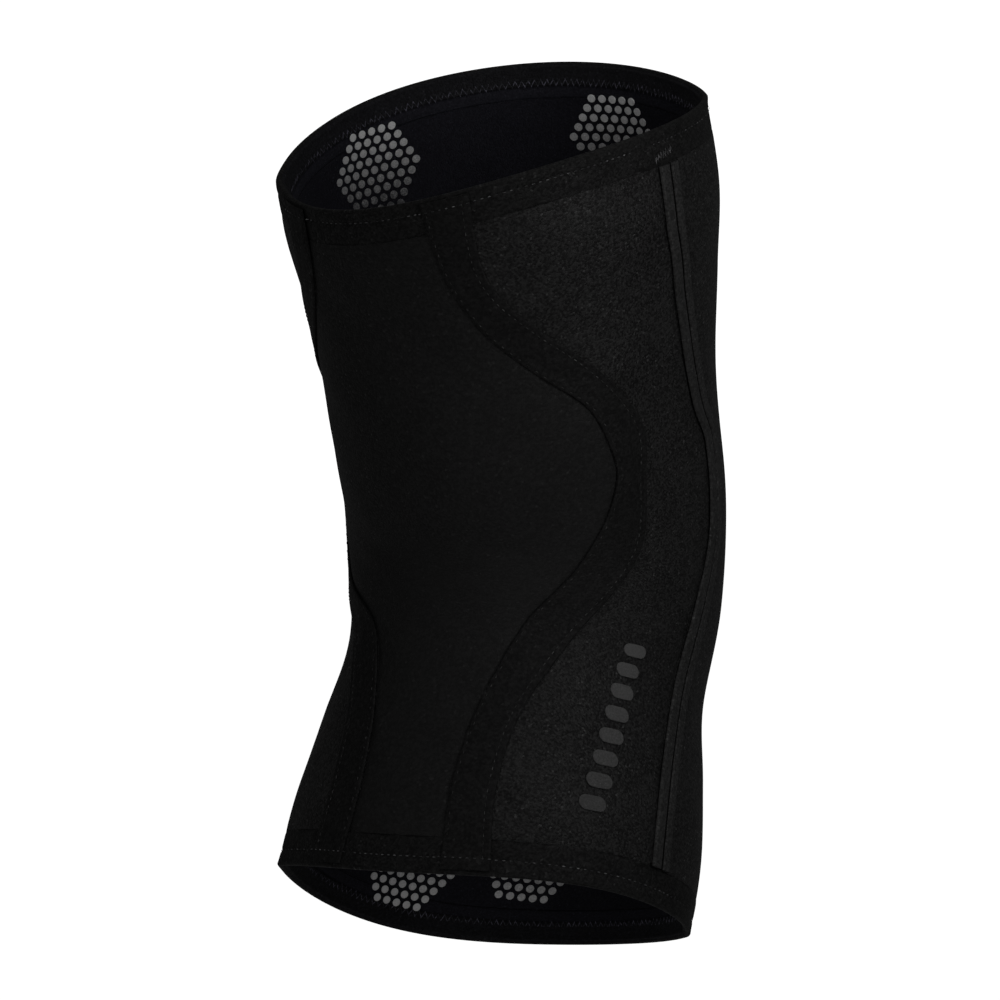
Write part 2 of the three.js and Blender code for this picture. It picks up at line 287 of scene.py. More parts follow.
def setUvs(mesh, across, up):  # a UV map in metres along the cloth
    layer = mesh.uv_layers.get("cloth") or mesh.uv_layers.new(name="cloth")
    corner = np.empty(len(mesh.loops), dtype=int)
    mesh.loops.foreach_get("vertex_index", corner)
    layer.data.foreach_set("uv", np.stack([across[corner], up[corner]], axis=1).ravel())
    mesh.uv_layers.active = layer


def newGrid(name, columns, rows):  # a flat grid, and its places from 0 to 1 both ways
    deselectAll()
    bpy.ops.mesh.primitive_grid_add(x_subdivisions=columns, y_subdivisions=rows, size=2, calc_uvs=False)
    piece = bpy.context.object
    piece.name = name
    piece.data.name = name
    places = np.empty(len(piece.data.vertices) * 3)
    piece.data.vertices.foreach_get("co", places)
    places = (places.reshape(-1, 3) + 1) / 2
    return piece, places[:, 0], places[:, 1]


def layOnForm(piece, height, angle, depth):  # moves a mesh's points onto the form
    points = clothPoint(height, angle, depth)
    piece.data.vertices.foreach_set("co", points.ravel())
    setUvs(piece.data, np.radians(angle) * sleeve["halfWidth"], height)
    piece.data.update()


def faceOutward(piece):  # an open sheet's faces look away from the middle line
    mesh = piece.data
    middle = mesh.polygons[len(mesh.polygons) // 2]
    spineY = np.interp(middle.center.z, spineZs, spineYs)
    if middle.normal.dot(middle.center - Vector((0, spineY, middle.center.z))) < 0:
        mesh.flip_normals()


def thicken(piece, thickness, thin=None):  # a wall inward from the outer face, thinner where thin says
    deselectAll()
    bpy.context.view_layer.objects.active = piece
    piece.select_set(True)
    if thin is not None:
        group = piece.vertex_groups.new(name="thickness")
        for index, weight in enumerate(thin):
            group.add([index], float(weight), "REPLACE")
    wall = piece.modifiers.new("wall", "SOLIDIFY")
    wall.thickness = thickness
    wall.offset = -1
    wall.use_even_offset = False
    if thin is not None:
        wall.vertex_group = "thickness"
    bpy.ops.object.modifier_apply(modifier="wall")
    if thin is not None:
        piece.vertex_groups.clear()


def finishPiece(piece, node, material):
    deselectAll()
    bpy.context.view_layer.objects.active = piece
    piece.select_set(True)
    bpy.ops.object.shade_smooth_by_angle(angle=math.radians(50))
    piece.data.materials.clear()
    piece.data.materials.append(material)
    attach(piece, "root")
    if node:
        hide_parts(node)


def easeEnds(t, amount=0.75):  # closer columns near both ends
    return t - amount * np.sin(2 * math.pi * t) / (2 * math.pi)


# Shader groups that the cloths share
def newGroup(name, inputs, outputs):
    group = bpy.data.node_groups.new(name, "ShaderNodeTree")
    for socketName, kind, value in inputs:
        socket = group.interface.new_socket(name=socketName, in_out="INPUT", socket_type=kind)
        if value is not None:
            socket.default_value = value
    for socketName, kind in outputs:
        group.interface.new_socket(name=socketName, in_out="OUTPUT", socket_type=kind)
    start = group.nodes.new("NodeGroupInput")
    end = group.nodes.new("NodeGroupOutput")
    return group, start, end


def addMath(tree, operation, first, second=None, third=None):
    node = tree.nodes.new("ShaderNodeMath")
    node.operation = operation
    for index, value in enumerate((first, second, third)):
        if value is None:
            continue
        if isinstance(value, (int, float)):
            node.inputs[index].default_value = value
        else:
            tree.links.new(value, node.inputs[index])
    return node.outputs[0]


def makeKnitGroup():  # fine loops of yarn with lighter flecks and sparse painted glints; Loop Size is in metres
    tree, start, end = newGroup(
        "knit", [("Vector", "NodeSocketVector", None), ("Loop Size", "NodeSocketFloat", 0.0006)],
        [("Grain And Glints", "NodeSocketFloat"), ("Height", "NodeSocketFloat"), ("Cloud", "NodeSocketFloat")])
    scaled = tree.nodes.new("ShaderNodeVectorMath")
    scaled.operation = "DIVIDE"
    tree.links.new(start.outputs["Vector"], scaled.inputs[0])
    packed = tree.nodes.new("ShaderNodeCombineXYZ")
    for socket in packed.inputs:
        tree.links.new(start.outputs["Loop Size"], socket)
    tree.links.new(packed.outputs[0], scaled.inputs[1])
    loops = tree.nodes.new("ShaderNodeTexVoronoi")
    loops.voronoi_dimensions = "2D"
    loops.inputs["Scale"].default_value = 1.0
    loops.inputs["Randomness"].default_value = 0.75
    tree.links.new(scaled.outputs[0], loops.inputs["Vector"])
    fleck = tree.nodes.new("ShaderNodeTexNoise")
    fleck.noise_dimensions = "2D"
    fleck.inputs["Scale"].default_value = 0.7
    fleck.inputs["Detail"].default_value = 2
    fleck.inputs["Roughness"].default_value = 0.6
    tree.links.new(scaled.outputs[0], fleck.inputs["Vector"])
    cloud = tree.nodes.new("ShaderNodeTexNoise")
    cloud.noise_dimensions = "2D"
    cloud.inputs["Scale"].default_value = 0.03
    cloud.inputs["Detail"].default_value = 3
    tree.links.new(scaled.outputs[0], cloud.inputs["Vector"])
    bump = addMath(tree, "SUBTRACT", 1.0, loops.outputs["Distance"])
    tones = tree.nodes.new("ShaderNodeSeparateColor")
    tree.links.new(loops.outputs["Color"], tones.inputs[0])
    mottle = addMath(tree, "MULTIPLY_ADD", addMath(tree, "SUBTRACT", fleck.outputs[0], 0.5), 1.6, 0.45)
    grain = addMath(tree, "MULTIPLY_ADD", addMath(tree, "SUBTRACT", tones.outputs[0], 0.5), 1.1, mottle)
    # painted glints: the rarest cells get light added to the colour, standing in for shiny fibres catching
    # the light
    paintedGlint = addMath(tree, "GREATER_THAN", tones.outputs[1], 0.985)
    clamp = tree.nodes.new("ShaderNodeClamp")
    clamp.inputs["Max"].default_value = 3
    tree.links.new(addMath(tree, "MULTIPLY_ADD", paintedGlint, 1.5, grain), clamp.inputs[0])
    tree.links.new(clamp.outputs[0], end.inputs["Grain And Glints"])
    height = addMath(tree, "MULTIPLY_ADD", fleck.outputs[0], 0.7, bump)
    tree.links.new(height, end.inputs["Height"])
    tree.links.new(cloud.outputs[0], end.inputs["Cloud"])
    return tree


knitGroup = makeKnitGroup()


def makeCloth(name, look):  # dark and light are the two yarn tones
    material = bpy.data.materials.new(name)
    material.use_nodes = True
    tree = material.node_tree
    shader = tree.nodes["Principled BSDF"]
    uv = tree.nodes.new("ShaderNodeUVMap")
    uv.uv_map = "cloth"
    knit = tree.nodes.new("ShaderNodeGroup")
    knit.node_tree = knitGroup
    knit.inputs["Loop Size"].default_value = look["loop"]
    tree.links.new(uv.outputs[0], knit.inputs["Vector"])
    yarn = tree.nodes.new("ShaderNodeMix")
    yarn.data_type = "RGBA"
    yarn.clamp_factor = False
    yarn.inputs["A"].default_value = (*look["dark"], 1)
    yarn.inputs["B"].default_value = (*look["light"], 1)
    cloud = addMath(tree, "SUBTRACT", knit.outputs["Cloud"], 0.5)
    spread = addMath(tree, "MULTIPLY_ADD", cloud, look["cloud"], knit.outputs["Grain And Glints"])
    tree.links.new(spread, yarn.inputs["Factor"])
    tree.links.new(yarn.outputs["Result"], shader.inputs["Base Color"])
    rough = addMath(tree, "MULTIPLY_ADD", knit.outputs["Grain And Glints"], -0.12, look["rough"])
    tree.links.new(rough, shader.inputs["Roughness"])
    bump = tree.nodes.new("ShaderNodeBump")
    bump.inputs["Strength"].default_value = look["bump"]
    bump.inputs["Distance"].default_value = look["loop"] * 0.5
    tree.links.new(knit.outputs["Height"], bump.inputs["Height"])
    tree.links.new(bump.outputs[0], shader.inputs["Normal"])
    shader.inputs["Specular IOR Level"].default_value = look["gloss"]
    shader.inputs["Sheen Weight"].default_value = look["sheen"]
    shader.inputs["Sheen Roughness"].default_value = 0.5
    return material


looks = {
    "back": {"dark": (0.0024, 0.0024, 0.0024), "light": (0.0046, 0.0046, 0.0046), "loop": 0.0008,
             "cloud": 0.5, "rough": 0.72, "bump": 0.4, "gloss": 0.06, "sheen": 0.004},
    "panel": {"dark": (0.0012, 0.0012, 0.0012), "light": (0.0076, 0.0076, 0.0076), "loop": 0.00065,
              "cloud": 0.5, "rough": 0.7, "bump": 0.5, "gloss": 0.06, "sheen": 0.004},
    "band": {"dark": (0.0014, 0.0014, 0.0014), "light": (0.0036, 0.0036, 0.0036), "loop": 0.0008,
             "cloud": 0.6, "rough": 0.75, "bump": 0.3, "gloss": 0.05, "sheen": 0.003},
    "tape": {"dark": (0.0035, 0.0035, 0.0035), "light": (0.0105, 0.0105, 0.0105), "loop": 0.0006,
             "cloud": 0.5, "rough": 0.75, "bump": 0.3, "gloss": 0.08, "sheen": 0.005},
    # painted shade: darker cloth for the tape's groove and outer edge, where shade falls
    "groove": {"dark": (0.0008, 0.0008, 0.0008), "light": (0.0022, 0.0022, 0.0022), "loop": 0.0006,
               "cloud": 0.5, "rough": 0.85, "bump": 0.3, "gloss": 0.02, "sheen": 0.001},
    "hem": {"dark": (0.0014, 0.0014, 0.0014), "light": (0.0048, 0.0048, 0.0048), "loop": 0.0007,
            "cloud": 0.6, "rough": 0.8, "bump": 0.4, "gloss": 0.05, "sheen": 0.003},
    "fold": {"dark": (0.0022, 0.0022, 0.0026), "light": (0.0042, 0.0042, 0.005), "loop": 0.0006,
             "cloud": 0.6, "rough": 0.85, "bump": 0.3, "gloss": 0.05, "sheen": 0.003},
    "lining": {"dark": (0.003, 0.003, 0.0044), "light": (0.0054, 0.0054, 0.0076), "loop": 0.0005,
               "cloud": 0.5, "rough": 0.85, "bump": 0.25, "gloss": 0.06, "sheen": 0.003},
}
materials = {name: makeCloth(f"{name}_cloth", look) for name, look in looks.items()}


def makeThread(name, look):  # twisted yarn: darker and lighter patches at random, from a noise on Object coordinates
    material = bpy.data.materials.new(name)
    material.use_nodes = True
    tree = material.node_tree
    shader = tree.nodes["Principled BSDF"]
    place = tree.nodes.new("ShaderNodeTexCoord")
    noise = tree.nodes.new("ShaderNodeTexNoise")
    noise.inputs["Scale"].default_value = 1 / look["patch"]
    noise.inputs["Detail"].default_value = 3
    tree.links.new(place.outputs["Object"], noise.inputs["Vector"])
    ramp = tree.nodes.new("ShaderNodeMapRange")
    ramp.inputs["From Min"].default_value = 0.45
    ramp.inputs["From Max"].default_value = 0.68
    tree.links.new(noise.outputs[0], ramp.inputs["Value"])
    tone = tree.nodes.new("ShaderNodeMix")
    tone.data_type = "RGBA"
    tone.inputs["A"].default_value = (*look["dark"], 1)
    tone.inputs["B"].default_value = (*look["light"], 1)
    tree.links.new(ramp.outputs[0], tone.inputs["Factor"])
    tree.links.new(tone.outputs["Result"], shader.inputs["Base Color"])
    bump = tree.nodes.new("ShaderNodeBump")
    bump.inputs["Strength"].default_value = 0.4
    bump.inputs["Distance"].default_value = 0.0001
    tree.links.new(noise.outputs[0], bump.inputs["Height"])
    tree.links.new(bump.outputs[0], shader.inputs["Normal"])
    shader.inputs["Roughness"].default_value = 0.7
    shader.inputs["Specular IOR Level"].default_value = 0.15
    return material


def makePrint(name, look):  # a rubbery print over the knit's grain, lighter toward one end along the sleeve as painted sheen and shade
    material = bpy.data.materials.new(name)
    material.use_nodes = True
    tree = material.node_tree
    shader = tree.nodes["Principled BSDF"]
    uv = tree.nodes.new("ShaderNodeUVMap")
    uv.uv_map = "cloth"
    knit = tree.nodes.new("ShaderNodeGroup")
    knit.node_tree = knitGroup
    knit.inputs["Loop Size"].default_value = look["loop"]
    tree.links.new(uv.outputs[0], knit.inputs["Vector"])
    parts = tree.nodes.new("ShaderNodeSeparateXYZ")
    tree.links.new(uv.outputs[0], parts.inputs[0])
    # painted sheen and shade: the print lightens from the low height to the high height along the sleeve
    fade = tree.nodes.new("ShaderNodeMapRange")
    fade.inputs["From Min"].default_value = look["low"]
    fade.inputs["From Max"].default_value = look["high"]
    tree.links.new(parts.outputs["Y"], fade.inputs["Value"])
    paintedShadeAndGrain = addMath(tree, "MULTIPLY_ADD", addMath(tree, "SUBTRACT", knit.outputs["Grain And Glints"], 0.5), look["grain"],
                   fade.outputs[0])
    tone = tree.nodes.new("ShaderNodeMix")
    tone.data_type = "RGBA"
    tone.inputs["A"].default_value = (*look["dark"], 1)
    tone.inputs["B"].default_value = (*look["light"], 1)
    tree.links.new(paintedShadeAndGrain, tone.inputs["Factor"])
    tree.links.new(tone.outputs["Result"], shader.inputs["Base Color"])
    bump = tree.nodes.new("ShaderNodeBump")
    bump.inputs["Strength"].default_value = 0.25
    bump.inputs["Distance"].default_value = look["loop"] * 0.4
    tree.links.new(knit.outputs["Height"], bump.inputs["Height"])
    tree.links.new(bump.outputs[0], shader.inputs["Normal"])
    shader.inputs["Roughness"].default_value = look["rough"]
    shader.inputs["Specular IOR Level"].default_value = look["gloss"]
    return material


threadLooks = {
    "hem": {"dark": (0.005, 0.005, 0.0055), "light": (0.07, 0.07, 0.072), "patch": 0.0022},
    "fold": {"dark": (0.0015, 0.0015, 0.0025), "light": (0.045, 0.043, 0.058), "patch": 0.0012},
    "band": {"dark": (0.004, 0.004, 0.004), "light": (0.026, 0.026, 0.026), "patch": 0.003},
}
threads = {name: makeThread(f"{name}_thread", look) for name, look in threadLooks.items()}
print("materials made")

# The three kinds of panel
panelForm = {
    "dip": 0.0003,  # how far the outer face sinks at a seam
    "dipReach": 0.0013,
    "hemDip": 0.00012,
    "swell": 0.0005,
    "rowsPerMetre": 520,
    "columnsPerDegree": 0.62,
}


def makePanel(node, material, lower, upper, seed):
    widest = max(float(upper(h) - lower(h)) for h in np.linspace(0, sleeve["length"], 30))
    columns = int(widest * panelForm["columnsPerDegree"])
    rows = int(sleeve["length"] * panelForm["rowsPerMetre"])
    piece, u, v = newGrid(node.replace("_", "-"), columns, rows)
    u = easeEnds(u)
    v = easeEnds(v, 0.5)
    height, angle = settle(lower, upper, u, v)
    radius = sleeve["halfWidth"]
    edges = [
        np.radians(angle - lower(height)) * radius,
        np.radians(upper(height) - angle) * radius,
        insideTop(angle, panelInset) - height,
        height - insideBottom(angle, panelInset),
    ]
    depth = unevenness(angle, height, panelForm["swell"], seed)
    for edge, dip in zip(edges, [panelForm["dip"]] * 2 + [panelForm["hemDip"]] * 2):
        depth = depth + dip * np.exp(-((np.maximum(edge, 0) / panelForm["dipReach"]) ** 1.5))
    depth = np.minimum(depth, 2 * panelForm["dip"])
    layOnForm(piece, height, angle, depth)
    faceOutward(piece)
    thicken(piece, cloth["panel"], (cloth["panel"] - depth) / cloth["panel"])
    finishPiece(piece, node, materials[material])


halfGap = cloth["seamGap"] / 2
makePanel("back_panel", "back",
          lambda h: lineAngle("backSeam", leftSide, h, -halfGap),
          lambda h: lineAngle("backSeam", rightSide, h, -halfGap), 3)
makePanel("front_panel", "panel",
          lambda h: lineAngle("frontSeam", rightSide, h, halfGap),
          lambda h: 360 + lineAngle("frontSeam", leftSide, h, halfGap), 5)
makePanel("side_panel_right", "panel",
          lambda h: lineAngle("backSeam", rightSide, h, halfGap),
          lambda h: lineAngle("frontSeam", rightSide, h, -halfGap), 7)
makePanel("side_panel_left", "panel",
          lambda h: lineAngle("frontSeam", leftSide, h, -halfGap),
          lambda h: lineAngle("backSeam", leftSide, h, halfGap), 9)
print("panels made")

# Bands along the back seams and double-ridged tapes along the front seams
bandForm = {
    "lift": 0.0001,
    "edge": 0.0009,  # width of the rounded edge
    "edgeShare": 0.25,  # its height where it starts
    "rimInset": 0.0016,  # the bands run on over the hems
    "streak": 0.00008,
    "wall": 0.00091,
    "columns": 40,
    "rows": 210,
}
tapeForm = {
    "lift": 0.0001,
    "height": 0.0013,
    "groovePlace": 0.0052,
    "grooveWidth": 0.0009,
    "grooveDepth": 0.0012,
    "edge": 0.0012,
    "edgeShare": 0.3,
    "darkEdge": 0.0007,  # width of the outer edge that gets the painted shade
    "columns": 72,
    "rows": 150,
}


def sideLines(side, near, far):  # two lines of one side, in the order of rising angle
    return (near, far) if side == rightSide else (far, near)


def makeBand(word, side):
    lower, upper = sideLines(
        side,
        lambda h: lineAngle("backSeam", side, h, halfGap),
        lambda h: lineAngle("bandEdge", side, h))
    piece, u, v = newGrid(f"band-{word}", bandForm["columns"], bandForm["rows"])
    height, angle = settle(lower, upper, easeEnds(u), v, bandForm["rimInset"])
    fromEdge = np.minimum(angle - lower(height), upper(height) - angle)
    near = np.clip(np.radians(fromEdge) * sleeve["halfWidth"] / bandForm["edge"], 0, 1)
    high = cloth["band"] * (bandForm["edgeShare"] + (1 - bandForm["edgeShare"]) * np.sqrt(near * (2 - near)))
    high = high + near * bandForm["streak"] * np.sin(u * 26 + 3 * np.sin(v * 9)) * np.sin(v * 17 + 5 * u)
    layOnForm(piece, height, angle, -bandForm["lift"] - high)
    faceOutward(piece)
    thicken(piece, bandForm["wall"], high / bandForm["wall"])
    finishPiece(piece, f"back_seam_band_{word}", materials["band"])


def makeTape(word, side):
    lower, upper = sideLines(
        side,
        lambda h: lineAngle("frontSeam", side, h, halfGap),
        lambda h: lineAngle("frontSeam", side, h, halfGap + cloth["tape"]))
    piece, u, v = newGrid(f"tape-{word}", tapeForm["columns"], tapeForm["rows"])
    height, angle = settle(lower, upper, u, v)
    across = (u if side == rightSide else 1 - u) * cloth["tape"]
    edge = np.clip(np.minimum(across, cloth["tape"] - across) / tapeForm["edge"], 0, 1)
    dome = tapeForm["edgeShare"] + (1 - tapeForm["edgeShare"]) * np.sqrt(edge * (2 - edge))
    groove = np.exp(-(((across - tapeForm["groovePlace"]) / (tapeForm["grooveWidth"] * 0.6)) ** 2))
    high = tapeForm["height"] * dome - tapeForm["grooveDepth"] * groove
    layOnForm(piece, height, angle, -tapeForm["lift"] - high)
    faceOutward(piece)
    thicken(piece, tapeForm["height"], high / tapeForm["height"])
    finishPiece(piece, f"front_seam_tape_{word}", materials["tape"])
    # painted shade: faces in the groove and along the outer edge get the darker look
    piece.data.materials.append(materials["groove"])
    place = np.tile(across, 2)  # the outer face's points, then the inner face's
    shaded = (np.abs(place - tapeForm["groovePlace"]) < tapeForm["grooveWidth"] * 0.55) | (
        place > cloth["tape"] - tapeForm["darkEdge"])
    for face in piece.data.polygons:
        if all(shaded[index] for index in face.vertices):
            face.material_index = 1


for word, side in (("right", rightSide), ("left", leftSide)):
    makeBand(word, side)
    makeTape(word, side)
print("bands and tapes made")

# The lining and the two hems: the cloth is folded in over the rim and stitched down
liningForm = {"columns": 240, "rows": 110}
hemForm = {
    "around": 600,
    "across": 84,
    "outsidePoints": 34,
    "roundPoints": 6,
    "insidePoints": 40,
    "foldStart": 42,  # the outline's point from which the folded strip shows
    "fold": 0.008,  # how far the folded edge reaches inside
    "foldStep": 0.0006,
    "foldStitch": 0.0012,  # the zigzag's place, back from the folded edge
    "topStitch": 0.0048,
    "bottomStitch": 0.0056,
    "stitchDip": 0.0003,
    "stitchReach": 0.0008,
    "notchDip": 0.0004,
    "notchReach": 0.0009,
    "boundaryDip": 0.00015,
    "boundaryReach": 0.0008,
    "swell": 0.0006,
    "rimFade": 0.002,  # the outer face is even this near the rim
}


def wallDepth(inset):  # the inner face's depth: thin at the rim, full past the hem
    t = np.clip(inset / cloth["hem"], 0, 1)
    t = t * t * (3 - 2 * t)
    full = cloth["panel"] + cloth["layerGap"] + cloth["lining"]
    return cloth["rimThickness"] + (full - cloth["rimThickness"]) * t


def makeLining():
    piece, u, v = newGrid("lining", liningForm["columns"], liningForm["rows"])
    angle = u * 360
    inset = cloth["hem"] + 0.00005
    low = insideBottom(angle, inset)
    height = low + (insideTop(angle, inset) - low) * v
    layOnForm(piece, height, angle, cloth["panel"] + cloth["layerGap"])
    bpy.ops.object.mode_set(mode="EDIT")
    bpy.ops.mesh.select_all(action="SELECT")
    bpy.ops.mesh.remove_doubles(threshold=0.00002)
    bpy.ops.object.mode_set(mode="OBJECT")
    faceOutward(piece)
    thicken(piece, cloth["lining"])
    finishPiece(piece, "inner_lining", materials["lining"])


def hemOutline():  # the hem's closed section as points of inset and depth, from the panels round the rim
    roundness = cloth["rimRound"]
    inner = cloth["rimThickness"]
    turns = np.radians(np.linspace(0, 90, hemForm["roundPoints"]))
    points = [(inset, 0) for inset in np.linspace(cloth["hem"], roundness, hemForm["outsidePoints"])]
    for turn in turns[1:]:
        points.append((roundness * (1 - math.sin(turn)), roundness * (1 - math.cos(turn))))
    for turn in turns:
        points.append((roundness * (1 - math.cos(turn)), inner - roundness * (1 - math.sin(turn))))
    for inset in np.linspace(roundness, cloth["hem"], hemForm["insidePoints"])[1:]:
        step = hemForm["foldStep"] / (1 + math.exp((inset - hemForm["fold"]) / 0.0001))
        points.append((inset, float(wallDepth(inset)) + step))
    points.append((cloth["hem"], cloth["panel"] / 2))
    return np.array(points)


def hemNotch(angle, height):  # how near a place is to a seam that runs on across the hem
    near = 0
    for side in (rightSide, leftSide):
        for line in ("backSeam", "bandEdge", "frontSeam"):
            off = (angle - lineAngle(line, side, height) + 180) % 360 - 180
            arc = np.radians(off) * sleeve["halfWidth"]
            near = near + np.exp(-((arc / hemForm["notchReach"]) ** 2))
    return np.minimum(near, 1)


def stitchInset(heightAt):
    return hemForm["topStitch"] if heightAt is insideTop else hemForm["bottomStitch"]


def makeHem(name, node, heightAt, seed):
    outline = hemOutline()
    closed = np.vstack([outline, outline[:1]])
    lengths = np.hypot(*np.diff(closed, axis=0).T)
    steps = np.concatenate([[0], np.cumsum(lengths)]) / lengths.sum()
    deselectAll()
    bpy.ops.mesh.primitive_torus_add(major_segments=hemForm["around"], minor_segments=hemForm["across"],
                                     major_radius=1, minor_radius=0.25, generate_uvs=False)
    piece = bpy.context.object
    piece.name = name
    piece.data.name = name
    places = np.empty(len(piece.data.vertices) * 3)
    piece.data.vertices.foreach_get("co", places)
    x, y, z = places.reshape(-1, 3).T
    angle = np.degrees(np.arctan2(y, x)) % 360
    ringTurn = (np.arctan2(z, np.hypot(x, y) - 1) / (2 * math.pi)) % 1
    inset = np.interp(ringTurn, steps, closed[:, 0])
    depth = np.interp(ringTurn, steps, closed[:, 1])
    height = heightAt(angle, inset)
    outside = ringTurn < steps[hemForm["outsidePoints"]]
    row = np.exp(-(((inset - stitchInset(heightAt)) / hemForm["stitchReach"]) ** 2))
    boundary = np.exp(-(((cloth["hem"] - inset) / hemForm["boundaryReach"]) ** 2))
    dips = (hemForm["stitchDip"] * row + hemForm["notchDip"] * hemNotch(angle, height)
            + hemForm["boundaryDip"] * boundary + unevenness(angle * 1.5, inset, hemForm["swell"], seed))
    fade = np.clip(inset / hemForm["rimFade"], 0, 1)
    depth = depth + outside * dips * fade
    points = clothPoint(height, angle, depth)
    piece.data.vertices.foreach_set("co", points.ravel())
    piece.data.update()
    setUvs(piece.data, np.radians(angle) * sleeve["halfWidth"], np.where(outside, inset, -inset))
    bpy.ops.object.mode_set(mode="EDIT")
    bpy.ops.mesh.select_all(action="SELECT")
    bpy.ops.mesh.normals_make_consistent(inside=False)
    bpy.ops.object.mode_set(mode="OBJECT")
    finishPiece(piece, node, materials["hem"])
    piece.data.materials.append(materials["lining"])
    piece.data.materials.append(materials["fold"])
    inner = ringTurn > steps[hemForm["foldStart"]]
    beyond = inner & (inset > hemForm["fold"] - 0.0001)
    for face in piece.data.polygons:  # past the fold the bare lining shows
        if all(beyond[index] for index in face.vertices):
            face.material_index = 1
        elif all(inner[index] for index in face.vertices):
            face.material_index = 2


makeLining()
makeHem("top-hem", "top_hem", insideTop, 21)
makeHem("bottom-hem", "bottom_hem", insideBottom, 22)
print("lining and hems made")

# Stitch rows: one stitch, repeated along a route on the cloth
stitchRise = 0.00005  # how far a thread's middle stands above the cloth
stitchForms = {
    "running": {"length": 0.0012, "width": 0.0004, "height": 0.0003, "pitch": 0.0026},
    "band": {"length": 0.0013, "width": 0.00034, "height": 0.0003, "pitch": 0.0026},
    "seam": {"length": 0.0011, "width": 0.0003, "height": 0.00026, "pitch": 0.0036},
    "zigzag": {"length": 0.0034, "width": 0.00034, "height": 0.00026, "pitch": 0.0024, "slant": 62},
    "tack": {"length": 0.0034, "width": 0.0003, "height": 0.00026, "pitch": 0.0015, "slant": 70},
}


def addStitch(form):  # one stitch lying along X at the origin, or a zig and a zag
    slants = [form["slant"], -form["slant"]] if "slant" in form else [0]
    deselectAll()
    parts = []
    for index, slant in enumerate(slants):
        bpy.ops.mesh.primitive_uv_sphere_add(segments=6, ring_count=4, radius=0.5)
        part = bpy.context.object
        part.rotation_euler = (0, math.radians(90), 0)
        bpy.ops.object.transform_apply(location=False, rotation=True, scale=False)
        part.scale = (form["length"], form["height"], form["width"])
        bpy.ops.object.transform_apply(location=False, rotation=False, scale=True)
        part.rotation_euler = (0, math.radians(-slant), 0)
        part.location = (form["pitch"] * (index + 0.5) / len(slants), 0, 0)
        bpy.ops.object.transform_apply(location=True, rotation=True, scale=False)
        parts.append(part)
    deselectAll()
    for part in parts:
        part.select_set(True)
    bpy.context.view_layer.objects.active = parts[0]
    if len(parts) > 1:
        bpy.ops.object.join()
    return bpy.context.object


def sewRow(name, kind, points, closed, material):
    form = stitchForms[kind]
    route = bpy.data.curves.new(name + "-route", "CURVE")
    route.dimensions = "3D"
    route.twist_mode = "Z_UP"
    spline = route.splines.new("POLY")
    spline.points.add(len(points) - 1)
    spline.points.foreach_set("co", np.column_stack([points, np.ones(len(points))]).ravel())
    spline.use_cyclic_u = closed
    guide = bpy.data.objects.new(name + "-route", route)
    scene.collection.objects.link(guide)
    row = addStitch(form)
    row.name = name
    row.data.name = name
    copies = row.modifiers.new("copies", "ARRAY")
    copies.fit_type = "FIT_CURVE"
    copies.curve = guide
    copies.use_relative_offset = False
    copies.use_constant_offset = True
    copies.constant_offset_displace = (form["pitch"], 0, 0)
    bend = row.modifiers.new("bend", "CURVE")
    bend.object = guide
    bpy.ops.object.modifier_apply(modifier="copies")
    bpy.ops.object.modifier_apply(modifier="bend")
    bpy.data.objects.remove(guide)
    bpy.data.curves.remove(route)
    finishPiece(row, None, material)


def onBand(angle, height):  # where a band runs under the hem's stitches
    covered = np.zeros(len(angle), bool)
    for side in (rightSide, leftSide):
        for turn in (0, 360):
            near = side * (angle - turn - lineAngle("backSeam", 0, height))
            covered |= (near > readTable(seams, "backSeam", height / sleeve["length"]) - 1) & (
                near < readTable(seams, "bandEdge", height / sleeve["length"]) + 1)
    return covered


def hemStitches(word, heightAt):
    angle = np.linspace(0, 360, 361)[:-1]
    inset = stitchInset(heightAt)
    height = heightAt(angle, inset)
    bandTop = -bandForm["lift"] - cloth["band"] - stitchRise
    depth = np.where(onBand(angle, height), bandTop, hemForm["stitchDip"] - 2 * stitchRise)
    outer = clothPoint(height, angle, depth)
    sewRow(f"{word}-hem-stitches", "running", outer, True, threads["hem"])
    inset = hemForm["fold"] - hemForm["foldStitch"]
    depth = wallDepth(inset) + hemForm["foldStep"] + stitchRise
    inner = clothPoint(heightAt(angle, inset), angle, depth)
    sewRow(f"{word}-fold-stitches", "zigzag", inner, True, threads["fold"])


bandRows = {"band": ("bandEdge", -0.0028), "seam": ("backSeam", 0.0016)}  # each row's line and its shift
bandRowInset = 0.004


def bandStitches(word, side):
    for kind, (line, shift) in bandRows.items():
        height = np.linspace(0, sleeve["length"], 300)
        angle = lineAngle(line, side, height, shift)
        inside = (height > insideBottom(angle, bandRowInset)) & (height < insideTop(angle, bandRowInset))
        height, angle = height[inside], angle[inside]
        points = clothPoint(height, angle, -bandForm["lift"] - cloth["band"] - stitchRise)
        sewRow(f"{kind}-stitches-{word}", kind, points, False, threads["band"])


tackRow = {"from": -0.0005, "to": 0.008, "rise": 0.0025, "slope": 0.2}


def tapeTack(word, side):  # a short slanted row above the tape's upper end
    across = np.linspace(tackRow["from"], tackRow["to"], 30)
    angle = lineAngle("frontSeam", side, sleeve["length"] - cloth["hem"], across)
    height = insideTop(angle, cloth["hem"] - tackRow["rise"] - tackRow["slope"] * across)
    points = clothPoint(height, angle, -2 * stitchRise)
    sewRow(f"tape-tack-{word}", "tack", points, False, threads["hem"])


hemStitches("top", insideTop)
hemStitches("bottom", insideBottom)
for word, side in (("right", rightSide), ("left", leftSide)):
    bandStitches(word, side)
    tapeTack(word, side)
print("stitches sewn")

